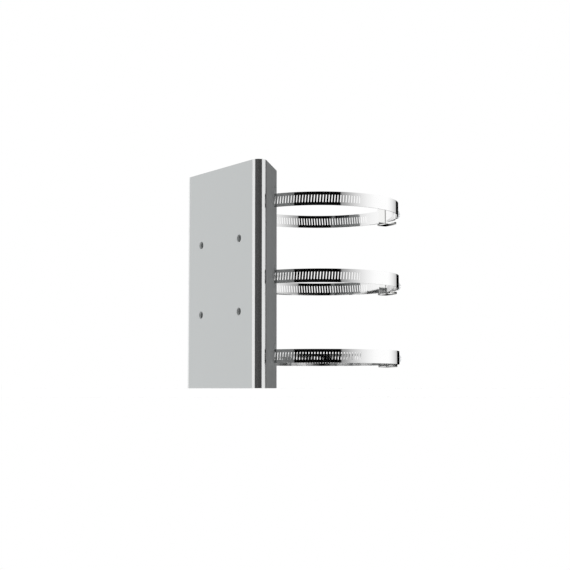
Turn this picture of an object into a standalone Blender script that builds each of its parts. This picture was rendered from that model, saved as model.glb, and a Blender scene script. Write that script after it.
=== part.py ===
# Pole mount bracket: a folded steel channel with four bolt holes, held to a pole by three
# perforated worm drive straps that pass through slots in its two leaning walls.
#
# Frame: the origin is the centre of the flat front face. +X runs along the face to the right as
# seen from the front, +Y points backwards to the pole and +Z points up. Lengths are in metres.

import math

import bmesh
import bpy
from mathutils import Matrix, Vector

# Folded channel
CHANNEL_WIDTH = 0.118
CHANNEL_HEIGHT = 0.194
CHANNEL_DEPTH = 0.0467
CHANNEL_SHEET = 0.002
FOLD_RADIUS = 0.006
WALL_ANGLE = math.radians(45)
BOLT_HOLE_DIAMETER = 0.0066
BOLT_SPACING_X = 0.063
BOLT_SPACING_Z = 0.063

# Slots in the walls, one pair for each strap
SLOT_LENGTH_PLAY = 0.006
SLOT_WIDTH = 0.004
SLOT_TO_REAR_EDGE = 0.008

# Straps
STRAP_NAMES = ("bottom", "middle", "top")
END_TO_STRAP = 0.028
STRAP_RADIUS = 0.0745
STRAP_WIDTH = 0.012
STRAP_SHEET = 0.0007
STRAP_TIP_RADIUS = 0.0042
CLAMP_ANGLE = math.radians(4)
PERFORATION_PITCH = 0.0026
PERFORATION_WIDTH = 0.00125
PERFORATION_RAIL = 0.0027
PERFORATION_LEAN = math.radians(9)
TONGUE_LENGTH = 0.027
PLAIN_LENGTH = 0.118
FREE_END_WRAP = 0.0104
TAIL_LENGTH = 0.015

# Saddle, the folded plate under the strap that grips the screw housing
SADDLE_LENGTH = 0.0104
SADDLE_SHEET = 0.0008
SADDLE_FOLD_RADIUS = 0.0011
SADDLE_LIP = 0.0016

# Screw housing
HOUSING_LENGTH = 0.017
END_WALL_INSET = 0.0003
HOUSING_SHEET = 0.0008
HOUSING_FOLD_RADIUS = 0.0003

# Worm screw
THREAD_RADIUS = 0.004
THREAD_DEPTH = 0.001
THREAD_CREST = (0.38, 0.62)
NECK_RADIUS = 0.0028
TIP_RADIUS = 0.0022
TIP_LENGTH = 0.0026
HEAD_FLANGE_RADIUS = 0.0043
HEAD_FLANGE_THICKNESS = 0.0009
HEX_ACROSS_FLATS = 0.007
HEX_LENGTH = 0.0058
HEX_CHAMFER = 0.0005
DRIVER_SLOT_WIDTH = 0.0012
DRIVER_SLOT_DEPTH = 0.0022

# Clearances
SEAT_GAP = 0.0003
RUNNING_GAP = 0.00035

# Facet counts
FOLD_STEPS = 6
SMALL_FOLD_STEPS = 2
ARCH_STEPS = 8
BOLT_HOLE_SIDES = 20
THREAD_SIDES = 12
HEAD_SIDES = 16
TIP_CORNER_STEPS = 4
PITCHES_IN_A_FACET = 3

# Sizes that follow from those above
FOLD_TURN = math.pi - WALL_ANGLE
PLATE_FLAT = CHANNEL_WIDTH - 2 * FOLD_RADIUS
WALL_FLAT = (CHANNEL_DEPTH - FOLD_RADIUS * (1 - math.cos(FOLD_TURN))) / math.sin(FOLD_TURN)
WALL_DIRECTION = Vector((math.cos(FOLD_TURN), math.sin(FOLD_TURN)))
WALL_REAR_EDGE = Vector((
    PLATE_FLAT / 2 + FOLD_RADIUS * math.sin(FOLD_TURN) + WALL_FLAT * WALL_DIRECTION.x,
    CHANNEL_DEPTH,
))
WALL_OUTWARD = Vector((WALL_DIRECTION.y, -WALL_DIRECTION.x))
SLOT_REAR = WALL_REAR_EDGE - WALL_DIRECTION * SLOT_TO_REAR_EDGE
SLOT_MIDDLE = SLOT_REAR - WALL_DIRECTION * SLOT_WIDTH / 2 - WALL_OUTWARD * CHANNEL_SHEET / 2
SLOT_LENGTH = STRAP_WIDTH + SLOT_LENGTH_PLAY

# The pulled strap bears on the inner corner of each slot's rear edge, which sets the ring's place
BEARING = SLOT_REAR - WALL_OUTWARD * CHANNEL_SHEET
RING_Y = BEARING.y + math.sqrt((STRAP_RADIUS - STRAP_SHEET - SEAT_GAP) ** 2 - BEARING.x ** 2)
LAYER_STEP = STRAP_SHEET + SEAT_GAP
PERFORATION_HEIGHT = STRAP_WIDTH - 2 * PERFORATION_RAIL
FACET_LENGTH = PITCHES_IN_A_FACET * PERFORATION_PITCH
STRAP_SPACING = (CHANNEL_HEIGHT - 2 * END_TO_STRAP) / (len(STRAP_NAMES) - 1)


def spiral_radius(angle):
    """Outer radius of the strap at an angle from the housing. It grows by one layer a turn, and is
    STRAP_RADIUS opposite the housing, inside the channel."""
    return STRAP_RADIUS + LAYER_STEP * (angle - math.pi) / math.tau


# Distances from the ring's middle, along the line to the middle of the housing
FIXED_LAYER_INSIDE = spiral_radius(0) - STRAP_SHEET
FREE_LAYER_OUTSIDE = spiral_radius(math.tau)
SCREW_OUT = FREE_LAYER_OUTSIDE + SEAT_GAP + THREAD_RADIUS
HOUSING_BOTTOM = FREE_LAYER_OUTSIDE + SEAT_GAP
ARCH_RADIUS = THREAD_RADIUS + RUNNING_GAP + HOUSING_SHEET
SADDLE_SIDE = STRAP_WIDTH / 2 + SEAT_GAP + SADDLE_SHEET
SADDLE_SAG = (SADDLE_LENGTH / 2) ** 2 / (2 * STRAP_RADIUS)
SADDLE_BOTTOM = FIXED_LAYER_INSIDE - SADDLE_SAG - SEAT_GAP - SADDLE_SHEET
SADDLE_TOP = HOUSING_BOTTOM + HOUSING_SHEET + SEAT_GAP + SADDLE_SHEET
HOUSING_SIDE = SADDLE_SIDE - SADDLE_SHEET - SEAT_GAP
TIP_WALL = END_WALL_INSET - HOUSING_LENGTH / 2
NECK_WALL = HOUSING_LENGTH / 2 - END_WALL_INSET
HEAD_START = HOUSING_LENGTH / 2 + RUNNING_GAP


def remove_everything():
    for old in list(bpy.data.objects):
        bpy.data.objects.remove(old)


def steel(name, colour, roughness):
    material = bpy.data.materials.new(name)
    material.use_nodes = True
    shader = material.node_tree.nodes["Principled BSDF"]
    shader.inputs["Base Color"].default_value = (*colour, 1)
    shader.inputs["Metallic"].default_value = 1
    shader.inputs["Roughness"].default_value = roughness
    return material


def new_object(name, mesh, material=None):
    made = bpy.data.objects.new(name, mesh)
    bpy.context.scene.collection.objects.link(made)
    if material:
        mesh.materials.append(material)
    return made


def mesh_from(bm, name):
    bmesh.ops.recalc_face_normals(bm, faces=bm.faces)
    mesh = bpy.data.meshes.new(name)
    bm.to_mesh(mesh)
    bm.free()
    return mesh


def extrude_outline(bm, points, along):
    """A closed solid from a flat outline of 3-D points, pulled along a vector."""
    face = bm.faces.new([bm.verts.new(p) for p in points])
    made = bmesh.ops.extrude_face_region(bm, geom=[face])
    moved = [v for v in made["geom"] if isinstance(v, bmesh.types.BMVert)]
    bmesh.ops.translate(bm, verts=moved, vec=along)
    return bm


def folded_outline(start, heading, runs, sheet):
    """Closed 2-D outline of a folded sheet. It is walked along its outer face, with the sheet on the
    left, and each run is a straight length, the turn after it, the outer radius and the arc's steps."""
    outer = []
    inner = []

    def station(point, direction):
        left = Vector((-math.sin(direction), math.cos(direction)))
        outer.append(point.copy())
        inner.append(point + left * sheet)

    point = Vector(start)
    station(point, heading)
    for length, turn, radius, steps in runs:
        point = point + Vector((math.cos(heading), math.sin(heading))) * length
        station(point, heading)
        if not turn:
            continue
        side = math.copysign(1, turn)
        left = Vector((-math.sin(heading), math.cos(heading)))
        centre = point + left * side * radius
        for step in range(1, steps + 1):
            direction = heading + turn * step / steps
            left = Vector((-math.sin(direction), math.cos(direction)))
            point = centre - left * side * radius
            station(point, direction)
        heading += turn
    return outer + inner[::-1]


def cut(target, cutter):
    cutter.hide_render = True
    cutter.display_type = "WIRE"
    boolean = target.modifiers.new(cutter.name, "BOOLEAN")
    boolean.operation = "DIFFERENCE"
    boolean.object = cutter


def unite(target, addition):
    addition.hide_render = True
    addition.display_type = "WIRE"
    boolean = target.modifiers.new(addition.name, "BOOLEAN")
    boolean.operation = "UNION"
    boolean.object = addition


def cylinder(bm, radius, depth, sides, matrix):
    bmesh.ops.create_cone(
        bm, cap_ends=True, segments=sides, radius1=radius, radius2=radius, depth=depth, matrix=matrix
    )


def place_in_clamp(piece, out, height):
    """Sets a piece's origin at a distance out from the ring's middle, turned with the clamp."""
    turn = Matrix.Rotation(-CLAMP_ANGLE, 4, "Z")
    piece.matrix_world = Matrix.Translation((0, RING_Y, height)) @ turn @ Matrix.Translation((0, out, 0))


def strap_height(index):
    """Height of a strap's middle."""
    return (index - (len(STRAP_NAMES) - 1) / 2) * STRAP_SPACING


# Channel: one folded sheet, with bolt holes in its plate and strap slots in its walls

def bolt_hole_cutter():
    bm = bmesh.new()
    along_y = Matrix.Rotation(math.pi / 2, 4, "X")
    for x in (-BOLT_SPACING_X / 2, BOLT_SPACING_X / 2):
        for z in (-BOLT_SPACING_Z / 2, BOLT_SPACING_Z / 2):
            place = Matrix.Translation((x, CHANNEL_SHEET / 2, z)) @ along_y
            cylinder(bm, BOLT_HOLE_DIAMETER / 2, 3 * CHANNEL_SHEET, BOLT_HOLE_SIDES, place)
    return new_object("bolt_hole_cutter", mesh_from(bm, "bolt_hole_cutter"))


def strap_slot_cutter():
    bm = bmesh.new()
    for side in (-1, 1):
        turn = Matrix.Rotation(side * FOLD_TURN, 4, "Z")
        for index in range(len(STRAP_NAMES)):
            seat = strap_height(index) - STRAP_WIDTH / 2 - SEAT_GAP
            place = Matrix.Translation((side * SLOT_MIDDLE.x, SLOT_MIDDLE.y, seat + SLOT_LENGTH / 2))
            size = Matrix.Diagonal((SLOT_WIDTH, 3 * CHANNEL_SHEET, SLOT_LENGTH, 1))
            bmesh.ops.create_cube(bm, size=1, matrix=place @ turn @ size)
    return new_object("strap_slot_cutter", mesh_from(bm, "strap_slot_cutter"))


def mounting_channel(material):
    start = (-WALL_REAR_EDGE.x, WALL_REAR_EDGE.y)
    runs = (
        (WALL_FLAT, FOLD_TURN, FOLD_RADIUS, FOLD_STEPS),
        (PLATE_FLAT, FOLD_TURN, FOLD_RADIUS, FOLD_STEPS),
        (WALL_FLAT, 0, 0, 0),
    )
    outline = folded_outline(start, -FOLD_TURN, runs, CHANNEL_SHEET)
    bm = bmesh.new()
    extrude_outline(bm, [(p.x, p.y, -CHANNEL_HEIGHT / 2) for p in outline], (0, 0, CHANNEL_HEIGHT))
    channel = new_object("mounting_channel", mesh_from(bm, "mounting_channel"), material)
    cut(channel, bolt_hole_cutter())
    cut(channel, strap_slot_cutter())
    return channel


# Strap: a perforated steel tape wound a little over one turn, so that its free end lies outside
# its fixed end

def whole_facets(length):
    return max(1, round(length / FACET_LENGTH))


TONGUE_FACETS = whole_facets(TONGUE_LENGTH)
PLAIN_FACETS = whole_facets(PLAIN_LENGTH)
TURN_FACETS = round(math.tau * STRAP_RADIUS / FACET_LENGTH)
WRAP_FACETS = whole_facets(FREE_END_WRAP)
TAIL_FACETS = whole_facets(TAIL_LENGTH)
FACET_TURN = math.tau / TURN_FACETS
LAST_KNOT = TURN_FACETS + WRAP_FACETS


def strap_knot(knot):
    """Corner between two facets, on the strap's outer face, from the ring's middle. Knot 0 is at the
    middle of the housing."""
    curved = min(knot, LAST_KNOT)
    angle = curved * FACET_TURN
    around = Vector((math.sin(angle), math.cos(angle)))
    tangent = Vector((math.cos(angle), -math.sin(angle)))
    return around * spiral_radius(angle) + tangent * (knot - curved) * FACET_LENGTH


def strap_point(knot, share, z):
    """Point of a facet's flat face: share is how far along the facet it is, from 0 to 1."""
    corner = strap_knot(knot).lerp(strap_knot(knot + 1), share)
    return Vector((corner.x, corner.y, z))


def add_face(bm, points):
    bm.faces.new([bm.verts.new(p) for p in points])


def plain_facet(bm, knot):
    edge = STRAP_WIDTH / 2
    add_face(bm, [strap_point(knot, *c) for c in ((0, -edge), (1, -edge), (1, edge), (0, edge))])


def tip_facet(bm, knot, tip_at_end):
    """The last facet at either end of the strap, with both of its corners rounded."""
    edge = STRAP_WIDTH / 2
    inset = STRAP_TIP_RADIUS / FACET_LENGTH
    corner = []
    for step in range(TIP_CORNER_STEPS + 1):
        angle = math.pi / 2 * step / TIP_CORNER_STEPS
        share = 1 - inset + inset * math.sin(angle)
        corner.append((share, edge - STRAP_TIP_RADIUS * (1 - math.cos(angle))))
    profile = [(0, -edge), *[(s, -z) for s, z in corner], *corner[::-1], (0, edge)]
    points = [strap_point(knot, s if tip_at_end else 1 - s, z) for s, z in profile]
    add_face(bm, points if tip_at_end else points[::-1])


def perforated_facet(bm, knot):
    """A facet with its leaning slots left out: a strip above them, one below and a web at each side."""
    edge = STRAP_WIDTH / 2
    end = PERFORATION_HEIGHT / 2
    half = PERFORATION_WIDTH / 2 / FACET_LENGTH
    lean = math.tan(PERFORATION_LEAN) * end / FACET_LENGTH
    middles = [(slot + 0.5) / PITCHES_IN_A_FACET for slot in range(PITCHES_IN_A_FACET)]
    sides = [m + offset for m in middles for offset in (-half, half)]
    low = [strap_point(knot, s + lean, -end) for s in sides]
    high = [strap_point(knot, s - lean, end) for s in sides]
    first_low, first_high = strap_point(knot, 0, -edge), strap_point(knot, 0, edge)
    last_low, last_high = strap_point(knot, 1, -edge), strap_point(knot, 1, edge)
    add_face(bm, [first_low, last_low, *low[::-1]])
    add_face(bm, [last_high, first_high, *high])
    add_face(bm, [first_low, low[0], high[0], first_high])
    add_face(bm, [low[-1], last_low, last_high, high[-1]])
    for right, left in zip(range(1, len(sides) - 1, 2), range(2, len(sides), 2)):
        add_face(bm, [low[right], low[left], high[left], high[right]])


def strap_mesh():
    bm = bmesh.new()
    first = -TONGUE_FACETS
    last = LAST_KNOT + TAIL_FACETS - 1
    tip_facet(bm, first, tip_at_end=False)
    for knot in range(first + 1, last):
        if knot < PLAIN_FACETS:
            plain_facet(bm, knot)
        else:
            perforated_facet(bm, knot)
    tip_facet(bm, last, tip_at_end=True)
    bmesh.ops.remove_doubles(bm, verts=bm.verts, dist=1e-6)
    mesh = bpy.data.meshes.new("strap")
    bm.to_mesh(mesh)
    bm.free()
    return mesh


def strap(name, mesh, height):
    tape = new_object(name, mesh)
    place_in_clamp(tape, 0, height)
    solid = tape.modifiers.new("sheet", "SOLIDIFY")
    solid.thickness = STRAP_SHEET
    solid.offset = 1
    solid.use_even_offset = True
    solid.use_quality_normals = True
    return tape


# Saddle and housing: folded sheets, drawn in the plane across the screw and pulled along it

def pull_along_screw(outline, start, length):
    bm = bmesh.new()
    return extrude_outline(bm, [(start, p.y, p.x) for p in outline], (length, 0, 0))


def saddle_mesh():
    side_flat = SADDLE_TOP - SADDLE_BOTTOM - 2 * SADDLE_FOLD_RADIUS
    plate_flat = 2 * (SADDLE_SIDE - SADDLE_FOLD_RADIUS)
    quarter = math.pi / 2
    runs = (
        (SADDLE_LIP - SADDLE_FOLD_RADIUS, quarter, SADDLE_FOLD_RADIUS, SMALL_FOLD_STEPS),
        (side_flat, quarter, SADDLE_FOLD_RADIUS, SMALL_FOLD_STEPS),
        (plate_flat, quarter, SADDLE_FOLD_RADIUS, SMALL_FOLD_STEPS),
        (side_flat, quarter, SADDLE_FOLD_RADIUS, SMALL_FOLD_STEPS),
        (SADDLE_LIP - SADDLE_FOLD_RADIUS, 0, 0, 0),
    )
    start = (-SADDLE_SIDE + SADDLE_LIP, SADDLE_TOP)
    outline = folded_outline(start, math.pi, runs, SADDLE_SHEET)
    return mesh_from(pull_along_screw(outline, -SADDLE_LENGTH / 2, SADDLE_LENGTH), "saddle")


def housing_shell():
    leg = SCREW_OUT - HOUSING_BOTTOM - HOUSING_SHEET - HOUSING_FOLD_RADIUS
    flange = HOUSING_SIDE - ARCH_RADIUS - HOUSING_FOLD_RADIUS
    quarter = math.pi / 2
    runs = (
        (flange, -quarter, HOUSING_FOLD_RADIUS, SMALL_FOLD_STEPS),
        (leg, math.pi, ARCH_RADIUS, ARCH_STEPS),
        (leg, -quarter, HOUSING_FOLD_RADIUS, SMALL_FOLD_STEPS),
        (flange, 0, 0, 0),
    )
    start = (HOUSING_SIDE, HOUSING_BOTTOM + HOUSING_SHEET)
    outline = folded_outline(start, math.pi, runs, HOUSING_SHEET)
    return mesh_from(pull_along_screw(outline, -HOUSING_LENGTH / 2, HOUSING_LENGTH), "housing")


def housing_end_walls():
    """The two walls that close the arch and carry the screw's neck and tip."""
    radius = ARCH_RADIUS - HOUSING_SHEET / 2
    outline = [Vector((-radius, HOUSING_BOTTOM)), Vector((radius, HOUSING_BOTTOM))]
    for step in range(ARCH_STEPS + 1):
        angle = math.pi * step / ARCH_STEPS
        outline.append(Vector((radius * math.cos(angle), SCREW_OUT + radius * math.sin(angle))))
    bm = bmesh.new()
    for start in (TIP_WALL, NECK_WALL - HOUSING_SHEET):
        extrude_outline(bm, [(start, p.y, p.x) for p in outline], (HOUSING_SHEET, 0, 0))
    return mesh_from(bm, "end_walls")


def housing_bores():
    """Round holes in the end walls. The neck's is the wider one, at the head."""
    bm = bmesh.new()
    for x, radius in (
        (TIP_WALL + HOUSING_SHEET / 2, TIP_RADIUS + RUNNING_GAP),
        (NECK_WALL - HOUSING_SHEET / 2, NECK_RADIUS + RUNNING_GAP),
    ):
        place = Matrix.Translation((x, SCREW_OUT, 0)) @ Matrix.Rotation(math.pi / 2, 4, "Y")
        cylinder(bm, radius, 2 * HOUSING_SHEET, THREAD_SIDES, place)
    return mesh_from(bm, "bores")


def worm_housing(name, height, material):
    housing = new_object(name, housing_shell(), material)
    walls = new_object(name + "_end_walls", housing_end_walls())
    bores = new_object(name + "_bores", housing_bores())
    for part in (housing, walls, bores):
        place_in_clamp(part, 0, height)
    unite(housing, walls)
    cut(housing, bores)
    return housing


# Worm screw: a coarse right-hand thread between a tip and a neck, with a slotted hex head

def around_screw(bm, x, radius, side):
    angle = math.tau * side / THREAD_SIDES
    return bm.verts.new((x, radius * math.cos(angle), radius * math.sin(angle)))


def circle_at(bm, x, radius):
    return [around_screw(bm, x, radius, side) for side in range(THREAD_SIDES)]


def skin_between(bm, first, second):
    for side in range(THREAD_SIDES):
        after = (side + 1) % THREAD_SIDES
        bm.faces.new((first[side], first[after], second[after], second[side]))


def add_thread(bm, start_ring, end_ring, start, turns):
    """Helical skin between two plain rings. Its root line runs one turn longer than its crest, which
    sinks into the root at both ends."""
    root_radius = THREAD_RADIUS - THREAD_DEPTH
    last = turns * THREAD_SIDES

    def on_helix(step, share, radius):
        advance = start + PERFORATION_PITCH * (step / THREAD_SIDES + share)
        return around_screw(bm, advance, radius, step)

    root = [on_helix(step, 0, root_radius) for step in range(last + THREAD_SIDES + 1)]
    crest = []
    for step in range(last + 1):
        radius = root_radius if step in (0, last) else THREAD_RADIUS
        crest.append([on_helix(step, share, radius) for share in THREAD_CREST])
    for step in range(last):
        here = [root[step], *crest[step], root[step + THREAD_SIDES]]
        ahead = [root[step + 1], *crest[step + 1], root[step + 1 + THREAD_SIDES]]
        for line in range(3):
            bm.faces.new((here[line], ahead[line], ahead[line + 1], here[line + 1]))

    end = THREAD_SIDES
    for side in range(end - 1):
        bm.faces.new((start_ring[side], start_ring[side + 1], root[side + 1], root[side]))
    bm.faces.new((start_ring[-1], start_ring[0], root[0], *crest[0], root[end], root[end - 1]))
    for side in range(1, end):
        after = (side + 1) % end
        bm.faces.new((root[last + side], root[last + side + 1], end_ring[after], end_ring[side]))
    bm.faces.new((root[last], *crest[last], root[last + end], end_ring[0], end_ring[1], root[last + 1]))


def screw_shank():
    root_radius = THREAD_RADIUS - THREAD_DEPTH
    thread_start = TIP_WALL + HOUSING_SHEET + RUNNING_GAP
    thread_end = NECK_WALL - HOUSING_SHEET - RUNNING_GAP
    turns = int((thread_end - thread_start) / PERFORATION_PITCH) - 1
    first = (thread_start + thread_end - (turns + 1) * PERFORATION_PITCH) / 2
    bm = bmesh.new()
    tip = circle_at(bm, thread_start - TIP_LENGTH, TIP_RADIUS)
    tip_root = circle_at(bm, thread_start, TIP_RADIUS)
    start_ring = circle_at(bm, thread_start, root_radius)
    end_ring = circle_at(bm, thread_end, root_radius)
    neck_root = circle_at(bm, thread_end, NECK_RADIUS)
    neck = circle_at(bm, HEAD_START + HEAD_FLANGE_THICKNESS / 2, NECK_RADIUS)
    bm.faces.new(tip)
    skin_between(bm, tip, tip_root)
    skin_between(bm, tip_root, start_ring)
    add_thread(bm, start_ring, end_ring, first, turns)
    skin_between(bm, end_ring, neck_root)
    skin_between(bm, neck_root, neck)
    bm.faces.new(neck)
    bmesh.ops.triangulate(bm, faces=bm.faces)
    return mesh_from(bm, "screw")


def head_flange():
    bm = bmesh.new()
    middle = HEAD_START + HEAD_FLANGE_THICKNESS / 2
    place = Matrix.Translation((middle, 0, 0)) @ Matrix.Rotation(math.pi / 2, 4, "Y")
    cylinder(bm, HEAD_FLANGE_RADIUS, HEAD_FLANGE_THICKNESS, HEAD_SIDES, place)
    return mesh_from(bm, "flange")


def head_hex():
    """Six-sided head. Its outer end is drawn in to make the chamfer."""
    corner = HEX_ACROSS_FLATS / math.sqrt(3)
    start = HEAD_START + HEAD_FLANGE_THICKNESS / 2
    end = HEAD_START + HEAD_FLANGE_THICKNESS + HEX_LENGTH
    bm = bmesh.new()
    loops = []
    for x, radius in ((start, corner), (end - HEX_CHAMFER, corner), (end, corner - HEX_CHAMFER)):
        angles = [math.tau * side / 6 for side in range(6)]
        loops.append([bm.verts.new((x, radius * math.cos(a), radius * math.sin(a))) for a in angles])
    for first, second in zip(loops, loops[1:]):
        for side in range(6):
            after = (side + 1) % 6
            bm.faces.new((first[side], first[after], second[after], second[side]))
    bm.faces.new(loops[0])
    bm.faces.new(loops[-1])
    return mesh_from(bm, "hex")


def driver_slot():
    bm = bmesh.new()
    end = HEAD_START + HEAD_FLANGE_THICKNESS + HEX_LENGTH
    size = Matrix.Diagonal((2 * DRIVER_SLOT_DEPTH, 2 * HEX_ACROSS_FLATS, DRIVER_SLOT_WIDTH, 1))
    bmesh.ops.create_cube(bm, size=1, matrix=Matrix.Translation((end, 0, 0)) @ size)
    return mesh_from(bm, "driver_slot")


def worm_screw(name, height, material):
    screw = new_object(name, screw_shank(), material)
    place_in_clamp(screw, SCREW_OUT, height)
    for part, make, join in (
        ("_flange", head_flange, unite),
        ("_hex", head_hex, unite),
        ("_slot", driver_slot, cut),
    ):
        helper = new_object(name + part, make())
        place_in_clamp(helper, SCREW_OUT, height)
        join(screw, helper)
    return screw


def shade_round(piece):
    """Smooth shading, kept flat where the faces meet at more than 40 degrees."""
    bpy.ops.object.select_all(action="DESELECT")
    piece.select_set(True)
    bpy.context.view_layer.objects.active = piece
    bpy.ops.object.shade_smooth_by_angle(angle=math.radians(40))


def build():
    remove_everything()
    satin = steel("satin_stainless_sheet", (0.53, 0.53, 0.52), 0.36)
    bright = steel("bright_stainless_strip", (0.60, 0.60, 0.60), 0.14)
    pressed = steel("pressed_stainless", (0.52, 0.52, 0.53), 0.24)
    plated = steel("plated_screw_steel", (0.56, 0.57, 0.58), 0.22)
    shade_round(mounting_channel(satin))
    tape = strap_mesh()
    tape.materials.append(bright)
    for index, name in enumerate(STRAP_NAMES):
        height = strap_height(index)
        shade_round(strap(name + "_strap", tape.copy(), height))
        saddle = new_object(name + "_saddle", saddle_mesh(), pressed)
        place_in_clamp(saddle, 0, height)
        shade_round(saddle)
        shade_round(worm_housing(name + "_worm_housing", height, pressed))
        shade_round(worm_screw(name + "_worm_screw", height, plated))


build()
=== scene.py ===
import math

import bmesh
import bpy
from mathutils import Matrix, Vector


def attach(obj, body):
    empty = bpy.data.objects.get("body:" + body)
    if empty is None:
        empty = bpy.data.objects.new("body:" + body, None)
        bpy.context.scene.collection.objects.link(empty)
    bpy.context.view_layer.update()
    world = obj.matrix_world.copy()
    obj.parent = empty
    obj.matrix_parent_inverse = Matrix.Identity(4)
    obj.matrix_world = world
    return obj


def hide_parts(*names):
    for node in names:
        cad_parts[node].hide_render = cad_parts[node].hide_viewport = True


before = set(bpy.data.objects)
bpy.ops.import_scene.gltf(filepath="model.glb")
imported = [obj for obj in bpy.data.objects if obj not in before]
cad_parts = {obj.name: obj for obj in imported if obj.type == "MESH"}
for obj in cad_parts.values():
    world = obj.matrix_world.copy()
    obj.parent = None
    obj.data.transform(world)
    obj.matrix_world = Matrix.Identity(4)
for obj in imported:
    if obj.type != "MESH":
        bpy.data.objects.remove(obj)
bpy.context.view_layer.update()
bpy.context.scene.view_settings.view_transform = "Standard"

mm = 0.001
samePoint = 0.001 * mm  # two points nearer than this are one
strapHeights = {"bottom": -69 * mm, "middle": 0.0, "top": 69 * mm}


# small helpers for selecting and finishing
def deselectAll():
    if bpy.context.object and bpy.context.object.mode != "OBJECT":
        bpy.ops.object.mode_set(mode="OBJECT")
    bpy.ops.object.select_all(action="DESELECT")


def makeActive(piece):
    deselectAll()
    piece.select_set(True)
    bpy.context.view_layer.objects.active = piece


def editing(piece, mode):
    makeActive(piece)
    bpy.ops.object.mode_set(mode="EDIT")
    bpy.ops.mesh.select_mode(type=mode)
    bpy.ops.mesh.select_all(action="DESELECT")
    return bmesh.from_edit_mesh(piece.data)


def pick(bm, items, rule):
    for item in items:
        item.select_set(rule(item))
    bm.select_flush_mode()


def doneEditing(piece):
    bmesh.update_edit_mesh(piece.data)
    bpy.ops.object.mode_set(mode="OBJECT")


def applyModifiers(piece):
    makeActive(piece)
    for name in [modifier.name for modifier in piece.modifiers]:
        bpy.ops.object.modifier_apply(modifier=name)


def applyPlace(piece):
    makeActive(piece)
    bpy.ops.object.transform_apply(location=True, rotation=True, scale=True)


def combine(piece, other, operation="DIFFERENCE"):
    # cuts the other shape away unless told to unite or intersect, and removes it
    modifier = piece.modifiers.new("combine", "BOOLEAN")
    modifier.operation = operation
    modifier.object = other
    applyModifiers(piece)
    bpy.data.objects.remove(other)


def bevelEdges(piece, width, segments, angle):
    modifier = piece.modifiers.new("edge", "BEVEL")
    modifier.width = width
    modifier.segments = segments
    modifier.limit_method = "ANGLE"
    modifier.angle_limit = math.radians(angle)
    applyModifiers(piece)


def smoothShading(piece, angle, flatFaces=False):
    makeActive(piece)
    bpy.ops.object.shade_smooth_by_angle(angle=math.radians(angle))
    if flatFaces:  # large flat faces keep their own direction next to a fold
        weighted = piece.modifiers.new("weighted", "WEIGHTED_NORMAL")
        weighted.keep_sharp = True
        applyModifiers(piece)


def ownCopy(piece, name):
    copy = piece.copy()
    copy.data = piece.data.copy()
    copy.name = name
    copy.data.name = name
    bpy.context.scene.collection.objects.link(copy)
    return copy


def joinPieces(first, others):
    deselectAll()
    for piece in others:
        piece.select_set(True)
    first.select_set(True)
    bpy.context.view_layer.objects.active = first
    bpy.ops.object.join()
    return first


def setMaterial(piece, material):
    piece.data.materials.clear()
    piece.data.materials.append(material)


# materials
def toLinear(hexColour, share=1.0):
    values = [int(hexColour[i:i + 2], 16) / 255 for i in (1, 3, 5)]
    linear = [v / 12.92 if v <= 0.04045 else ((v + 0.055) / 1.055) ** 2.4 for v in values]
    return tuple(v * share for v in linear) + (1.0,)


def addNode(tree, kind, settings=None, links=None):
    node = tree.nodes.new(kind)
    for key, value in (settings or {}).items():
        if isinstance(key, int) or key in node.inputs:
            node.inputs[key].default_value = value
        else:
            setattr(node, key, value)
    for key, source in (links or {}).items():
        tree.links.new(source, node.inputs[key])
    return node


def newMaterial(name):
    material = bpy.data.materials.new(name)
    material.use_nodes = True
    material.node_tree.nodes.clear()
    return material, material.node_tree


def setStops(ramp, stops):
    elements = ramp.color_ramp.elements
    while len(elements) > 1:
        elements.remove(elements[-1])
    for index, (place, level) in enumerate(stops):
        element = elements[0] if index == 0 else elements.new(place)
        element.position = place
        element.color = (level, level, level, 1)


# noise seldom leaves this middle part of its 0 to 1
noiseSpan = {"From Min": 0.3, "From Max": 0.7}

sheetLook = {
    "flatColour": "#bfc2c2",
    "flatMetal": 0.06,  # a blasted face scatters light much as a matt coat does
    "flatRoughness": 0.32,
    "roughnessSwing": 0.02,
    "foldColour": "#dcdddd",
    "foldMetal": 0.9,
    "foldRoughness": 0.12,
    "foldInside": 52.5 * mm,  # the burnished folds lie further out to the side than this
    "foldDepth": 11.0 * mm,  # and nearer to the front face than this
    "cloudSize": 35.7 * mm,
    "cloudShare": 0.985,
    "grainSize": 0.7 * mm,  # the real grain is about 0.1 mm, drawn coarser so that it shows
    "grainStretch": 50,  # the grain is drawn out up the sheet, the way it was rolled
    "grainDepth": 0.010 * mm,
    "grainStrength": 0.08,
}


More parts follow.
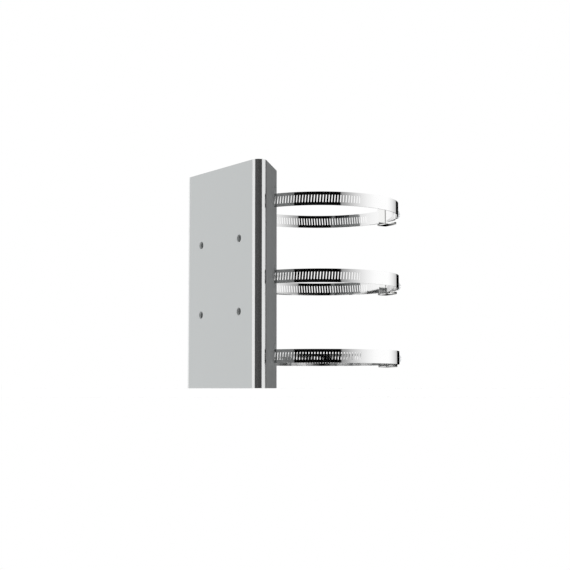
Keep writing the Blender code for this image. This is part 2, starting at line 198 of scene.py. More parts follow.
def mattSheetMaterial():
    # matt blasted stainless: pale, flat and even, with no sharp reflection; its folds are burnished
    # bright where the press pushed the sheet against the die
    look = sheetLook
    material, tree = newMaterial("mattBlastedStainless")
    place = addNode(tree, "ShaderNodeTexCoord").outputs["Object"]
    axes = addNode(tree, "ShaderNodeSeparateXYZ", links={"Vector": place})
    aside = addNode(tree, "ShaderNodeMath", {"operation": "ABSOLUTE"}, {0: axes.outputs["X"]})
    beside = addNode(tree, "ShaderNodeMath", {"operation": "GREATER_THAN", 1: look["foldInside"]},
                     {0: aside.outputs["Value"]})
    front = addNode(tree, "ShaderNodeMath", {"operation": "LESS_THAN", 1: look["foldDepth"]},
                    {0: axes.outputs["Y"]})
    fold = addNode(tree, "ShaderNodeMath", {"operation": "MULTIPLY"},
                   {0: beside.outputs["Value"], 1: front.outputs["Value"]}).outputs["Value"]
    stretch = addNode(tree, "ShaderNodeMapping", {"Scale": (1, 1, 1 / look["grainStretch"])},
                      {"Vector": place})
    grain = addNode(tree, "ShaderNodeTexNoise",
                    {"Scale": 1 / look["grainSize"], "Detail": 3.0, "Roughness": 0.6},
                    {"Vector": stretch.outputs["Vector"]})
    cloud = addNode(tree, "ShaderNodeTexNoise", {"Scale": 1 / look["cloudSize"], "Detail": 2.0},
                    {"Vector": place})
    flatTone = addNode(tree, "ShaderNodeMix",
                       {"data_type": "RGBA", 6: toLinear(look["flatColour"], look["cloudShare"]),
                        7: toLinear(look["flatColour"])}, {"Factor": cloud.outputs["Fac"]})
    tone = addNode(tree, "ShaderNodeMix", {"data_type": "RGBA", 7: toLinear(look["foldColour"])},
                   {"Factor": fold, 6: flatTone.outputs[2]})
    flatRough = addNode(tree, "ShaderNodeMapRange",
                        {**noiseSpan, "To Min": look["flatRoughness"] - look["roughnessSwing"],
                         "To Max": look["flatRoughness"] + look["roughnessSwing"]},
                        {"Value": grain.outputs["Fac"]})
    rough = addNode(tree, "ShaderNodeMapRange", {"To Max": look["foldRoughness"]},
                    {"Value": fold, "To Min": flatRough.outputs["Result"]})
    metal = addNode(tree, "ShaderNodeMapRange",
                    {"To Min": look["flatMetal"], "To Max": look["foldMetal"]}, {"Value": fold})
    bump = addNode(tree, "ShaderNodeBump",
                   {"Strength": look["grainStrength"], "Distance": look["grainDepth"]},
                   {"Height": grain.outputs["Fac"]})
    shader = addNode(tree, "ShaderNodeBsdfPrincipled",
                     links={"Base Color": tone.outputs[2], "Metallic": metal.outputs["Result"],
                            "Roughness": rough.outputs["Result"], "Normal": bump.outputs["Normal"]})
    addNode(tree, "ShaderNodeOutputMaterial", links={"Surface": shader.outputs["BSDF"]})
    return material


stripLook = {
    "colour": "#ececec",
    "lineShare": 0.97,
    "roughness": 0.045,
    "roughnessSwing": 0.02,
    "lineLength": 25 * mm,
    "lineSpacing": 25 / 30 * mm,  # real rolling lines are under 0.1 mm apart, drawn coarser to show
}


def brightStripMaterial():
    # bright annealed stainless strip: mirror-like, so that it shows the dark card and the pale walls,
    # with faint rolling lines along it
    look = stripLook
    material, tree = newMaterial("brightAnnealedStainless")
    place = addNode(tree, "ShaderNodeTexCoord").outputs["Object"]
    stretch = addNode(tree, "ShaderNodeMapping",
                      {"Scale": (1, 1, look["lineLength"] / look["lineSpacing"])}, {"Vector": place})
    lines = addNode(tree, "ShaderNodeTexNoise", {"Scale": 1 / look["lineLength"], "Detail": 2.0},
                    {"Vector": stretch.outputs["Vector"]})
    rough = addNode(tree, "ShaderNodeMapRange",
                    {**noiseSpan, "To Min": look["roughness"],
                     "To Max": look["roughness"] + look["roughnessSwing"]},
                    {"Value": lines.outputs["Fac"]})
    tone = addNode(tree, "ShaderNodeMix",
                   {"data_type": "RGBA", 6: toLinear(look["colour"], look["lineShare"]),
                    7: toLinear(look["colour"])}, {"Factor": lines.outputs["Fac"]})
    shader = addNode(tree, "ShaderNodeBsdfPrincipled", {"Metallic": 1.0},
                     {"Base Color": tone.outputs[2], "Roughness": rough.outputs["Result"]})
    addNode(tree, "ShaderNodeOutputMaterial", links={"Surface": shader.outputs["BSDF"]})
    return material


clampLook = {
    "pressedColour": "#e8e8e7",
    "pressedRoughness": 0.05,
    "pressedPatch": 1.5 * mm,
    "screwColour": "#d9dbdd",
    "screwRoughness": 0.16,
    "screwPatch": 0.8 * mm,
    "wearShare": 0.95,
    "wearGloss": (0.85, 1.2),  # the least and the most that wear changes the roughness
    "wearDepth": 0.02 * mm,
    "wearStrength": 0.05,
}


def smallPartMaterial(name, colour, roughness, patchSize):
    # worked metal: faint patches of wear change its gloss a little
    look = clampLook
    material, tree = newMaterial(name)
    place = addNode(tree, "ShaderNodeTexCoord").outputs["Object"]
    patches = addNode(tree, "ShaderNodeTexNoise",
                      {"Scale": 1 / patchSize, "Detail": 4.0, "Roughness": 0.55}, {"Vector": place})
    rough = addNode(tree, "ShaderNodeMapRange",
                    {**noiseSpan, "To Min": roughness * look["wearGloss"][0],
                     "To Max": roughness * look["wearGloss"][1]}, {"Value": patches.outputs["Fac"]})
    tone = addNode(tree, "ShaderNodeMix",
                   {"data_type": "RGBA", 6: toLinear(colour, look["wearShare"]), 7: toLinear(colour)},
                   {"Factor": patches.outputs["Fac"]})
    bump = addNode(tree, "ShaderNodeBump",
                   {"Strength": look["wearStrength"], "Distance": look["wearDepth"]},
                   {"Height": patches.outputs["Fac"]})
    shader = addNode(tree, "ShaderNodeBsdfPrincipled", {"Metallic": 1.0},
                     {"Base Color": tone.outputs[2], "Roughness": rough.outputs["Result"],
                      "Normal": bump.outputs["Normal"]})
    addNode(tree, "ShaderNodeOutputMaterial", links={"Surface": shader.outputs["BSDF"]})
    return material


# pressed stainless: bright but a little clouded by the press tool
pressedStainless = smallPartMaterial("pressedStainless", clampLook["pressedColour"],
                                     clampLook["pressedRoughness"], clampLook["pressedPatch"])
# zinc-plated screw steel: slightly cool and softer than the strip
platedScrewSteel = smallPartMaterial("zincPlatedScrewSteel", clampLook["screwColour"],
                                     clampLook["screwRoughness"], clampLook["screwPatch"])
mattSheet = mattSheetMaterial()
brightStrip = brightStripMaterial()
print("materials made")


# mounting channel
channelSize = {
    "width": 118 * mm,
    "height": 194 * mm,
    "depth": 46.7 * mm,
    "sheet": 2 * mm,
    "foldTurn": 135.5,  # degrees
    "foldRadius": 6.45 * mm,
    "foldSteps": 5,  # the fold is made in five strokes of the press, which leave flat facets
    "boltHole": 6.6 * mm,
    "boltSpacing": 63 * mm,
    "holeSides": 64,
    "strapSlot": (4 * mm, 18 * mm),
    "slotBelowStrap": 6.3 * mm,  # from a strap's middle height down to the slot's lower end
    "slotToRearEdge": 8 * mm,
    "edgeRadius": 0.15 * mm,
}
foldTurn = math.radians(channelSize["foldTurn"])
plateFlat = channelSize["width"] - 2 * channelSize["foldRadius"]
wallFlat = ((channelSize["depth"] - channelSize["foldRadius"] * (1 - math.cos(foldTurn)))
            / math.sin(foldTurn))
wallWay = Vector((math.cos(foldTurn), math.sin(foldTurn), 0))
wallOut = Vector((wallWay.y, -wallWay.x, 0))
wallEnd = (Vector((plateFlat / 2, 0, 0)) + wallWay * wallFlat
           + Vector((math.sin(foldTurn), 1 - math.cos(foldTurn), 0)) * channelSize["foldRadius"])


def foldSheet(name, start, heading, runs, across, sheet, steps):
    # folds a strip in plan from runs of (flat length, turn, radius), with its thickness to the left
    deselectAll()
    ahead = Vector((math.cos(heading), math.sin(heading), 0))
    left = Vector((-ahead.y, ahead.x, 0))
    point = Vector((start[0], start[1], 0))
    bpy.ops.mesh.primitive_plane_add(size=1, location=point + ahead * runs[0][0] / 2,
                                     rotation=(math.pi / 2, 0, heading))
    piece = bpy.context.object
    piece.name = name
    piece.scale = (runs[0][0], across, 1)
    applyPlace(piece)
    point = point + ahead * runs[0][0]
    side = 1 if piece.data.polygons[0].normal.dot(left) > 0 else -1
    bm = editing(piece, "EDGE")
    pick(bm, bm.edges, lambda e: all((v.co.xy - point.xy).length < samePoint for v in e.verts))
    for (_, turn, radius), (length, _, _) in zip(runs, runs[1:]):
        centre = point + Vector((-math.sin(heading), math.cos(heading), 0)) * math.copysign(radius, turn)
        # in an edit without a window spin turns the other way
        bpy.ops.mesh.spin(steps=steps, angle=-turn, axis=(0, 0, 1), center=centre)
        point = centre + Matrix.Rotation(turn, 3, "Z") @ (point - centre)
        heading += turn
        ahead = Vector((math.cos(heading), math.sin(heading), 0))
        bpy.ops.mesh.extrude_region_move(TRANSFORM_OT_translate={"value": ahead * length})
        point = point + ahead * length
    bpy.ops.mesh.select_all(action="SELECT")
    bpy.ops.mesh.remove_doubles(threshold=samePoint)
    doneEditing(piece)
    wall = piece.modifiers.new("sheet", "SOLIDIFY")
    wall.thickness = sheet
    wall.offset = side
    wall.use_even_offset = True
    applyModifiers(piece)
    return piece


def makeChannel():
    size = channelSize
    runs = [(wallFlat, foldTurn, size["foldRadius"]), (plateFlat, foldTurn, size["foldRadius"]),
            (wallFlat, 0, 0)]
    channel = foldSheet("foldedChannel", (-wallEnd.x, wallEnd.y), 2 * math.pi - foldTurn, runs,
                        size["height"], size["sheet"], size["foldSteps"])

    # bolt holes through the plate
    for x in (-0.5, 0.5):
        for z in (-0.5, 0.5):
            deselectAll()
            bpy.ops.mesh.primitive_cylinder_add(
                vertices=size["holeSides"], radius=size["boltHole"] / 2, depth=3 * size["sheet"],
                location=(x * size["boltSpacing"], size["sheet"] / 2, z * size["boltSpacing"]),
                rotation=(math.pi / 2, 0, 0))
            combine(channel, bpy.context.object)

    # strap slots through the two walls
    slotWidth, slotHeight = size["strapSlot"]
    slotRear = wallEnd - wallWay * size["slotToRearEdge"]
    slotMiddle = slotRear - wallWay * slotWidth / 2 - wallOut * size["sheet"] / 2
    for side in (1, -1):
        for height in strapHeights.values():
            deselectAll()
            bpy.ops.mesh.primitive_cube_add(
                size=1, location=(side * slotMiddle.x, slotMiddle.y,
                                  height + slotHeight / 2 - size["slotBelowStrap"]),
                rotation=(0, 0, side * foldTurn))
            cutter = bpy.context.object
            cutter.scale = (slotWidth, 3 * size["sheet"], slotHeight)
            applyPlace(cutter)
            combine(channel, cutter)
    bevelEdges(channel, size["edgeRadius"], 2, 20)
    smoothShading(channel, 20, flatFaces=True)
    setMaterial(channel, mattSheet)
    return channel


channel = makeChannel()
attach(channel, "bracket")
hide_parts("mounting_channel")
print("channel folded:", len(channel.data.polygons), "faces")


# straps
strapSize = {
    "ringRadius": 74.5 * mm,  # to the outer face, at the channel
    "ringMiddleY": 108.7365 * mm,  # where the straps bear on the rear corners of their slots
    "clampAngle": 4.0,  # degrees that the clamp is turned about the ring's middle
    "width": 12 * mm,
    "sheet": 0.7 * mm,
    "layerStep": 1.0 * mm,  # how far the strap winds outwards in one turn
    "pitch": 2.6 * mm,
    "slotWidth": 0.95 * mm,
    "slotHeight": 6.6 * mm,
    "slotLean": 5.0,  # degrees
    "slotCorner": 0.3 * mm,
    "tipRadius": 4.2 * mm,
    "tongue": 23.4 * mm,  # before the clamp's middle
    "plain": 119.4 * mm,  # unslotted, after the tongue
    "plainColumns": 54,
    "wrap": 7.8 * mm,  # past the full turn
    "tail": 15.6 * mm,  # straight, after the wrap
    "edgeRadius": 0.08 * mm,
    "seamGap": 0.01 * mm,  # the strap's runs are joined where they are nearer than this
}
strapPlay = {"bottom": 0.0, "middle": 0.9 * mm, "top": -0.4 * mm}  # how each lies in its loose slots
tonguePlain = strapSize["tongue"] + strapSize["plain"]
ringLength = 2 * math.pi * strapSize["ringRadius"]
strapLength = strapSize["tongue"] + ringLength + strapSize["wrap"] + strapSize["tail"]
tipLength = 2 * strapSize["pitch"]
slotCount = int((strapLength - tipLength - tonguePlain) / strapSize["pitch"])


def flatPlate(name, start, length, columns=1):
    # a flat strip of the strap's width that starts at x = start
    deselectAll()
    bpy.ops.mesh.primitive_grid_add(x_subdivisions=columns, y_subdivisions=1, size=1,
                                    location=(start + length / 2, 0, 0), rotation=(math.pi / 2, 0, 0))
    plate = bpy.context.object
    plate.name = name
    plate.scale = (length, strapSize["width"], 1)
    applyPlace(plate)
    return plate


def roundedTip(name, start, endSide):
    tip = flatPlate(name, start, tipLength)
    bm = editing(tip, "VERT")
    far = start + (tipLength if endSide > 0 else 0)
    pick(bm, bm.verts, lambda v: abs(v.co.x - far) < samePoint)
    bpy.ops.mesh.bevel(offset=strapSize["tipRadius"], segments=8, affect="VERTICES")
    doneEditing(tip)
    return tip


def slottedRun(name, start):
    # one pitch with its leaning slot, repeated along the strap
    size = strapSize
    pitch = size["pitch"]
    rim = 0.4 * mm
    within = size["width"] / 2 - 0.1 * mm  # only the strap's own edges lie further out than this
    cell = flatPlate(name, start, pitch)
    editing(cell, "FACE")
    bpy.ops.mesh.select_all(action="SELECT")
    bpy.ops.mesh.inset(thickness=rim, use_boundary=True)
    bpy.ops.transform.resize(value=(size["slotWidth"] / (pitch - 2 * rim), 1,
                                    size["slotHeight"] / (size["width"] - 2 * rim)))
    shift = math.tan(math.radians(size["slotLean"])) * size["slotHeight"] / 2
    for side in (1, -1):
        bm = editing(cell, "VERT")
        pick(bm, bm.verts, lambda v: 0 < side * v.co.z < within)
        bpy.ops.transform.translate(value=(-side * shift, 0, 0))
        doneEditing(cell)
    bm = editing(cell, "FACE")
    pick(bm, bm.faces, lambda f: max(abs(v.co.z) for v in f.verts) < within)
    bpy.ops.mesh.delete(type="ONLY_FACE")
    doneEditing(cell)
    bm = editing(cell, "VERT")
    pick(bm, bm.verts, lambda v: abs(v.co.z) < within)
    bpy.ops.mesh.bevel(offset=size["slotCorner"], segments=2, affect="VERTICES")
    doneEditing(cell)
    row = cell.modifiers.new("row", "ARRAY")
    row.count = slotCount
    row.use_relative_offset = False
    row.use_constant_offset = True
    row.constant_offset_displace = (pitch, 0, 0)
    row.use_merge_vertices = True
    row.merge_threshold = size["seamGap"]
    applyModifiers(cell)
    return cell


def spiralRadius(angle):
    return strapSize["ringRadius"] + strapSize["layerStep"] * (angle - math.pi) / (2 * math.pi)


def strapPath():
    # the line that the strap's outer face follows: a little over one turn, then the straight tail
    first = -strapSize["tongue"] / strapSize["ringRadius"]
    last = 2 * math.pi + strapSize["wrap"] / strapSize["ringRadius"]
    turnSteps = 400
    points = []
    for step in range(turnSteps + 1):
        angle = first + (last - first) * step / turnSteps
        points.append(Vector((math.sin(angle), math.cos(angle), 0)) * spiralRadius(angle))
    ahead = Vector((math.cos(last), -math.sin(last), 0))
    tailReach = 1.1 * strapSize["tail"]  # a little past the strap's end
    tailSteps = 8
    for step in range(1, tailSteps + 1):
        points.append(points[turnSteps] + ahead * tailReach * step / tailSteps)
    curve = bpy.data.curves.new("strapPath", "CURVE")
    curve.dimensions = "2D"
    spline = curve.splines.new("POLY")
    spline.points.add(len(points) - 1)
    for point, target in zip(points, spline.points):
        target.co = (*point, 1)
    path = bpy.data.objects.new("strapPath", curve)
    bpy.context.scene.collection.objects.link(path)
    return path


def makeStrap():
    size = strapSize
    tongueTip = roundedTip("strapSheet", 0, -1)
    plain = flatPlate("plainRun", tipLength, tonguePlain - tipLength, size["plainColumns"])
    slots = slottedRun("slottedRun", tonguePlain)
    tailTip = roundedTip("tailTip", tonguePlain + slotCount * size["pitch"], 1)
    strap = joinPieces(tongueTip, [plain, slots, tailTip])
    editing(strap, "VERT")
    bpy.ops.mesh.select_all(action="SELECT")
    bpy.ops.mesh.remove_doubles(threshold=size["seamGap"])
    bpy.ops.mesh.normals_make_consistent(inside=False)
    doneEditing(strap)
    sheet = strap.modifiers.new("sheet", "SOLIDIFY")
    sheet.thickness = size["sheet"]
    sheet.offset = 1 if strap.data.polygons[0].normal.y < 0 else -1
    applyModifiers(strap)
    bevelEdges(strap, size["edgeRadius"], 1, 50)
    path = strapPath()
    bend = strap.modifiers.new("ring", "CURVE")
    bend.object = path
    bend.deform_axis = "POS_X"
    applyModifiers(strap)
    bpy.data.objects.remove(path)
    smoothShading(strap, 30)
    setMaterial(strap, brightStrip)
    return strap


def placeInClamp(piece, height):
    # turned with the clamp about the ring's middle, then moved to the ring
    piece.rotation_euler = (0, 0, -math.radians(strapSize["clampAngle"]))
    piece.location = (0, strapSize["ringMiddleY"], height)
    applyPlace(piece)


firstStrap = makeStrap()
for position, height in strapHeights.items():
    strap = ownCopy(firstStrap, position + "PerforatedStrap")
    placeInClamp(strap, height + strapPlay[position])
    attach(strap, "bracket")
    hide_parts(position + "_strap")
bpy.data.objects.remove(firstStrap)
print("straps bent")


# saddles, worm housings and worm screws, each made about the clamp's own middle line: x runs along the
# screw, y away from the ring's middle
saddleSize = {
    "plateLength": 9.2 * mm,
    "sheet": 0.5 * mm,
    "strapGap": 0.05 * mm,
    "side": 8.1 * mm,  # from the strap's middle line to a wing's outer face
    "foldRadius": 0.9 * mm,
    "foldSteps": 8,
    "lip": 2.6 * mm,
    "wingLength": 17 * mm,
    "wingStart": 73 * mm,  # both from the ring's middle
    "wingTop": 83.6 * mm,
    "edgeRadius": 0.14 * mm,
}
# the plate is flat and the strap is round, so the plate's ends set how near it comes
saddleSag = (saddleSize["plateLength"] / 2) ** 2 / (2 * strapSize["ringRadius"])
saddleBottom = (strapSize["ringRadius"] - strapSize["layerStep"] / 2 - strapSize["sheet"] - saddleSag
                - saddleSize["strapGap"] - saddleSize["sheet"])


def layAlongScrew(piece):
    # folded upright, then laid down along the screw
    piece.rotation_euler = (0, math.pi / 2, 0)
    applyPlace(piece)


def finishPressed(piece, edge):
    bevelEdges(piece, edge, 2, 40)
    smoothShading(piece, 30, flatFaces=True)
    setMaterial(piece, pressedStainless)


def makeSaddle():
    # its plate lies under the strap, and its two longer wings reach past the strap's edges and close over
    # the shoulders of the housing
    size = saddleSize
    fold = size["foldRadius"]
    quarter = math.pi / 2
    sideFlat = size["wingTop"] - saddleBottom - 2 * fold
    lipFlat = size["lip"] - fold
    runs = [(lipFlat, quarter, fold), (sideFlat, quarter, fold), (2 * (size["side"] - fold), quarter, fold),
            (sideFlat, quarter, fold), (lipFlat, 0, 0)]
    saddle = foldSheet("foldedSaddle", (size["lip"] - size["side"], size["wingTop"]), math.pi, runs,
                       size["wingLength"], size["sheet"], size["foldSteps"])
    layAlongScrew(saddle)

    # the plate is cut back at both ends and leaves the wings
    cutDepth = 10 * mm
    for end in (1, -1):
        deselectAll()
        bpy.ops.mesh.primitive_cube_add(
            size=1, location=(end * size["plateLength"], size["wingStart"] - cutDepth / 2, 0))
        cutter = bpy.context.object
        cutter.scale = (size["plateLength"], cutDepth, 3 * size["side"])
        applyPlace(cutter)
        combine(saddle, cutter)
    finishPressed(saddle, size["edgeRadius"])
    return saddle


housingSize = {
    "length": 17 * mm,
    "sheet": 0.8 * mm,
    "foldRadius": 0.3 * mm,
    "foldSteps": 32,
    "wallInset": 0.3 * mm,
    "strapGap": 0.3 * mm,
    "runningGap": 0.35 * mm,
    "edgeRadius": 0.12 * mm,
}
screwSize = {
    "threadRadius": 4.0 * mm,
    "threadDepth": 1.0 * mm,
    "threadRoot": 0.72,  # its width as a share of the pitch
    "threadCrest": 0.34,  # as a share of the root's width
    "neckRadius": 2.8 * mm,
    "tipRadius": 2.2 * mm,
    "tipLength": 2.6 * mm,
    "tipChamfer": 0.4 * mm,
    "flangeRadius": 4.3 * mm,
    "flangeThickness": 0.9 * mm,
    "flangeRearEdge": 0.15 * mm,
    "flangeCone": (0.3 * mm, 0.5 * mm),  # along the screw and across it
    "hexAcrossFlats": 7.0 * mm,
    "hexLength": 5.8 * mm,
    "hexCone": 0.5 * mm,
    "driverWidth": 1.2 * mm,
    "driverDepth": 2.2 * mm,
    "edgeRadius": 0.07 * mm,
    "sides": 48,
}
freeLayerOutside = strapSize["ringRadius"] + strapSize["layerStep"] / 2
housingBottom = freeLayerOutside + housingSize["strapGap"]
housingSide = strapSize["width"] / 2
screwOut = housingBottom + screwSize["threadRadius"]
archRadius = screwSize["threadRadius"] + housingSize["runningGap"] + housingSize["sheet"]
tipWall = housingSize["wallInset"] - housingSize["length"] / 2
neckWall = housingSize["length"] / 2 - housingSize["wallInset"]
headStart = housingSize["length"] / 2 + housingSize["runningGap"]


def cylinderAlongScrew(radius, length, middle, out=0.0, sides=screwSize["sides"]):
    deselectAll()
    bpy.ops.mesh.primitive_cylinder_add(vertices=sides, radius=radius, depth=length,
                                        location=(middle, out, 0), rotation=(0, math.pi / 2, 0))
    cylinder = bpy.context.object
    applyPlace(cylinder)
    return cylinder


def makeHousing():
    size = housingSize
    fold = size["foldRadius"]
    quarter = math.pi / 2
    leg = screwOut - housingBottom - size["sheet"] - fold
    foot = housingSide - archRadius - fold
    runs = [(foot, -quarter, fold), (leg, math.pi, archRadius), (leg, -quarter, fold), (foot, 0, 0)]
    housing = foldSheet("pressedHousing", (housingSide, housingBottom + size["sheet"]), math.pi, runs,
                        size["length"], size["sheet"], size["foldSteps"])
    layAlongScrew(housing)

    # end walls, round above and square below, with holes for the screw's tip and neck
    wallMiddles = (tipWall + size["sheet"] / 2, neckWall - size["sheet"] / 2)
    for middle in wallMiddles:
        wall = cylinderAlongScrew(archRadius - size["sheet"] / 2, size["sheet"], middle, screwOut)
        bm = editing(wall, "VERT")
        for vertex in bm.verts:
            if vertex.co.y < screwOut - samePoint:
                vertex.co.y = housingBottom
        doneEditing(wall)
        combine(housing, wall, "UNION")
    for middle, radius in zip(wallMiddles, (screwSize["tipRadius"], screwSize["neckRadius"])):
        hole = cylinderAlongScrew(radius + size["runningGap"], 2 * size["sheet"], middle, screwOut)
        combine(housing, hole)
    finishPressed(housing, size["edgeRadius"])
    return housing


def turnedPiece(name, stations):
    # a round blank drawn out from one end, as (place along the axis, radius)
    deselectAll()
    place, radius = stations[0]
    bpy.ops.mesh.primitive_circle_add(vertices=screwSize["sides"], radius=radius, fill_type="NGON",
                                      location=(place, 0, 0), rotation=(0, math.pi / 2, 0))
    blank = bpy.context.object
    blank.name = name
    applyPlace(blank)
    editing(blank, "FACE")
    bpy.ops.mesh.select_all(action="SELECT")
    for nextPlace, nextRadius in stations[1:]:
        bpy.ops.mesh.extrude_region_move(TRANSFORM_OT_translate={"value": (nextPlace - place, 0, 0)})
        share = nextRadius / radius
        bpy.ops.transform.resize(value=(1, share, share))
        place, radius = nextPlace, nextRadius
    bpy.ops.mesh.select_all(action="SELECT")
    bpy.ops.mesh.normals_make_consistent(inside=False)
    doneEditing(blank)
    return blank


def makeThread(start, turns):
    # a small bar swept up the root of the screw
    size = screwSize
    pitch = strapSize["pitch"]
    root = size["threadRadius"] - size["threadDepth"]
    sunk = 0.15 * size["threadDepth"]  # how far the bar's foot lies inside the root
    deselectAll()
    bpy.ops.mesh.primitive_plane_add(size=1, location=(start, root + size["threadDepth"] / 2, 0))
    thread = bpy.context.object
    thread.scale = (pitch * size["threadRoot"], size["threadDepth"] + 2 * sunk, 1)
    applyPlace(thread)
    bm = editing(thread, "VERT")
    pick(bm, bm.verts, lambda v: v.co.y > root + size["threadDepth"] / 2)
    bpy.ops.transform.translate(value=(0, -sunk, 0))  # brings the crest to its radius
    bpy.ops.transform.resize(value=(size["threadCrest"], 1, 1))
    bpy.ops.mesh.select_all(action="SELECT")
    bpy.ops.mesh.delete(type="ONLY_FACE")
    doneEditing(thread)
    sweep = thread.modifiers.new("sweep", "SCREW")
    sweep.axis = "X"
    sweep.screw_offset = pitch
    sweep.iterations = turns
    sweep.steps = size["sides"]
    sweep.render_steps = size["sides"]
    applyModifiers(thread)
    editing(thread, "VERT")
    bpy.ops.mesh.select_all(action="SELECT")
    bpy.ops.mesh.remove_doubles(threshold=samePoint)
    bpy.ops.mesh.fill_holes(sides=0)
    bpy.ops.mesh.select_all(action="SELECT")
    bpy.ops.mesh.normals_make_consistent(inside=False)
    doneEditing(thread)
    return thread


def makeScrew():
    size = screwSize
    pitch = strapSize["pitch"]
    root = size["threadRadius"] - size["threadDepth"]
    threadStart = tipWall + housingSize["sheet"] + housingSize["runningGap"]
    threadEnd = neckWall - housingSize["sheet"] - housingSize["runningGap"]
    turns = int((threadEnd - threadStart) / pitch) - 1
    tipStart = threadStart - size["tipLength"]
    flangeEnd = headStart + size["flangeThickness"]
    coneLength, coneDrop = size["flangeCone"]
    screw = turnedPiece("wormScrew", [
        (tipStart, size["tipRadius"] - size["tipChamfer"]),
        (tipStart + size["tipChamfer"], size["tipRadius"]),
        (threadStart, size["tipRadius"]), (threadStart, root), (threadEnd, root),
        (threadEnd, size["neckRadius"]), (headStart, size["neckRadius"]),
        (headStart, size["flangeRadius"] - size["flangeRearEdge"]),
        (headStart + size["flangeRearEdge"], size["flangeRadius"]),
        (flangeEnd - coneLength, size["flangeRadius"]), (flangeEnd, size["flangeRadius"] - coneDrop)])
    combine(screw, makeThread((threadStart + threadEnd - turns * pitch) / 2, turns), "UNION")

    # six-sided head, its corners turned off by a shallow cone
    hexStart = headStart + size["flangeThickness"] / 2
    hexEnd = flangeEnd + size["hexLength"]
    corner = size["hexAcrossFlats"] / math.sqrt(3)
    slack = 0.1 * mm
    head = cylinderAlongScrew(corner, hexEnd - hexStart, (hexStart + hexEnd) / 2, sides=6)
    turned = turnedPiece("turnedCorners", [
        (hexStart - 2 * size["hexCone"], corner + size["hexCone"]),
        (hexEnd - size["hexCone"], corner + slack),
        (hexEnd + samePoint, size["hexAcrossFlats"] / 2 - slack)])
    combine(head, turned, "INTERSECT")
    combine(screw, head, "UNION")

    # driver slot
    deselectAll()
    bpy.ops.mesh.primitive_cube_add(size=1, location=(hexEnd, 0, 0))
    slot = bpy.context.object
    slot.scale = (2 * size["driverDepth"], 2 * size["hexAcrossFlats"], size["driverWidth"])
    applyPlace(slot)
    combine(screw, slot)
    bevelEdges(screw, size["edgeRadius"], 2, 35)
    smoothShading(screw, 30, flatFaces=True)
    screw.location = (0, screwOut, 0)
    applyPlace(screw)
    setMaterial(screw, platedScrewSteel)
    return screw


for make, ending, node, slot in ((makeSaddle, "FoldedSaddle", "_saddle", "pressed_sheet"),
                                 (makeHousing, "WormHousing", "_worm_housing", "pressed_sheet"),
                                 (makeScrew, "WormScrew", "_worm_screw", "screw_steel")):
    first = make()
    for position, height in strapHeights.items():
        piece = ownCopy(first, position + ending)
        # a saddle lies where its strap does; the housing and the screw keep to the screw's axis
        placeInClamp(piece, height + (strapPlay[position] if make == makeSaddle else 0))
        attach(piece, position + "_screw" if make == makeScrew else "bracket")
        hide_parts(position + node)
    bpy.data.objects.remove(first)
print("clamps made")


# floor, surroundings and camera
studioLook = {
    "floorHeight": -97.4 * mm,
    "floorMiddleY": 50 * mm,
    "floorRadius": 6.0,
    "paperGlow": 0.45,
    "mirroredLevel": 1.20,
}


def makeFloor():
    # white paper that keeps the object's shadow; only the camera sees it, so that the studio walls light
    # the object from below as they do from the sides
    look = studioLook
    material, tree = newMaterial("paleFloorPaper")
    path = addNode(tree, "ShaderNodeLightPath")
    paper = addNode(tree, "ShaderNodeBsdfDiffuse", {"Color": toLinear("#ffffff")})
    glow = addNode(tree, "ShaderNodeEmission", {"Color": (1, 1, 1, 1), "Strength": look["paperGlow"]})
    both = addNode(tree, "ShaderNodeAddShader",
                   links={0: paper.outputs["BSDF"], 1: glow.outputs["Emission"]})
    clear = addNode(tree, "ShaderNodeBsdfTransparent")
    mix = addNode(tree, "ShaderNodeMixShader", links={0: path.outputs["Is Camera Ray"],
                                                      1: clear.outputs["BSDF"], 2: both.outputs["Shader"]})
    addNode(tree, "ShaderNodeOutputMaterial", links={"Surface": mix.outputs["Shader"]})
    deselectAll()
    bpy.ops.mesh.primitive_circle_add(vertices=96, radius=look["floorRadius"], fill_type="NGON",
                                      location=(0, look["floorMiddleY"], look["floorHeight"]))
    floor = bpy.context.object
    floor.name = "paleFloor"
    floor.data.materials.append(material)


# what bright metal sees around it, by compass direction in degrees from +X towards +Y: two dark cards,
# one towards the camera and one behind, between pale walls that fade at their ends
surroundings = [
    (-180, 0.82), (-171, 0.93), (-160, 0.96), (-141, 0.95), (-121, 0.90), (-110, 0.82), (-97, 0.74),
    (-90.4, 0.70), (-90, 0.0), (-4.6, 0.0), (-4.2, 0.31), (3, 0.405), (11, 0.555), (19.7, 0.69), (28, 0.80),
    (36.7, 0.89), (49.5, 0.98), (60, 1.0), (80, 1.0), (88, 0.92), (96.8, 0.78), (106, 0.60), (111, 0.48),
    (111.8, 0.0), (143, 0.0), (144, 0.16), (164, 0.48), (172, 0.65),
]
# soft light that matt surfaces get by the same directions: from the front, and weaker from the rear
softLight = [(-180, 0.35), (-165, 0.955), (-25, 0.955), (-10, 0.34), (60, 0.34), (80, 0.18), (175, 0.18)]


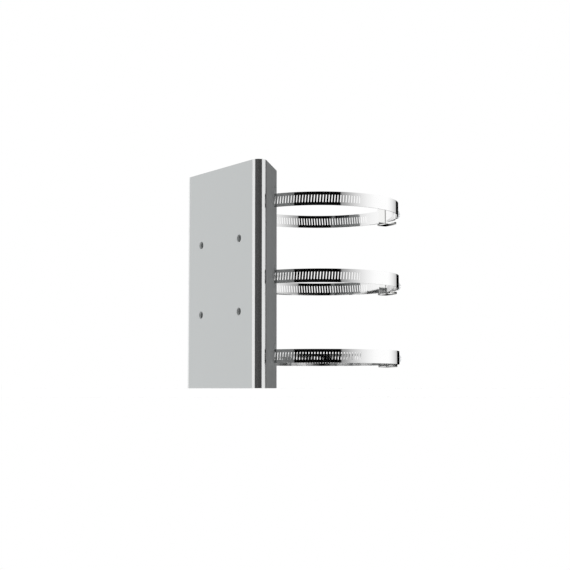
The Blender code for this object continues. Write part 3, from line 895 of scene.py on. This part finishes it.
def makeWorld():
    world = bpy.data.worlds.new("paleStudio")
    bpy.context.scene.world = world
    world.use_nodes = True
    tree = world.node_tree
    tree.nodes.clear()
    way = addNode(tree, "ShaderNodeTexCoord").outputs["Generated"]
    parts = addNode(tree, "ShaderNodeSeparateXYZ", links={"Vector": way})
    angle = addNode(tree, "ShaderNodeMath", {"operation": "ARCTAN2"},
                    {0: parts.outputs["Y"], 1: parts.outputs["X"]})
    turn = addNode(tree, "ShaderNodeMapRange",
                   {"From Min": -math.pi, "From Max": math.pi, "To Min": 0.0, "To Max": 1.0},
                   {"Value": angle.outputs["Value"]})
    mirrored = addNode(tree, "ShaderNodeValToRGB", links={"Fac": turn.outputs["Result"]})
    setStops(mirrored, [((degrees + 180) / 360, level) for degrees, level in surroundings])
    walls = addNode(tree, "ShaderNodeBackground", {"Strength": studioLook["mirroredLevel"]},
                    {"Color": mirrored.outputs["Color"]})
    spread = addNode(tree, "ShaderNodeValToRGB", links={"Fac": turn.outputs["Result"]})
    setStops(spread, [((degrees + 180) / 360, level) for degrees, level in softLight])
    soft = addNode(tree, "ShaderNodeBackground", {"Strength": 1.0}, {"Color": spread.outputs["Color"]})
    white = addNode(tree, "ShaderNodeBackground", {"Color": (1, 1, 1, 1), "Strength": 1.0})
    rays = addNode(tree, "ShaderNodeLightPath")
    matt = addNode(tree, "ShaderNodeMixShader", links={0: rays.outputs["Is Glossy Ray"],
                                                       1: soft.outputs["Background"],
                                                       2: walls.outputs["Background"]})
    seen = addNode(tree, "ShaderNodeMixShader", links={0: rays.outputs["Is Camera Ray"],
                                                       1: matt.outputs["Shader"],
                                                       2: white.outputs["Background"]})
    addNode(tree, "ShaderNodeOutputWorld", links={"Surface": seen.outputs["Shader"]})


# fitted to the photograph
cameraSize = {
    "place": (888.94 * mm, -548.49 * mm, -97.33 * mm),
    "upwards": 4.975,  # degrees
    "turn": 55.163,
    "focalLength": 1190.8,  # pixels
    "imageWidth": 570,
    "sensorWidth": 36,
    "nearest": 10 * mm,
}


def makeCamera():
    size = cameraSize
    camera = bpy.data.cameras.new("camera")
    camera.sensor_width = size["sensorWidth"]
    camera.lens = size["focalLength"] / size["imageWidth"] * size["sensorWidth"]
    camera.clip_start = size["nearest"]
    viewer = bpy.data.objects.new("camera", camera)
    viewer.location = size["place"]
    viewer.rotation_euler = (math.radians(90 + size["upwards"]), 0, math.radians(size["turn"]))
    bpy.context.scene.collection.objects.link(viewer)
    bpy.context.scene.camera = viewer


makeFloor()
makeWorld()
makeCamera()
print("studio made")
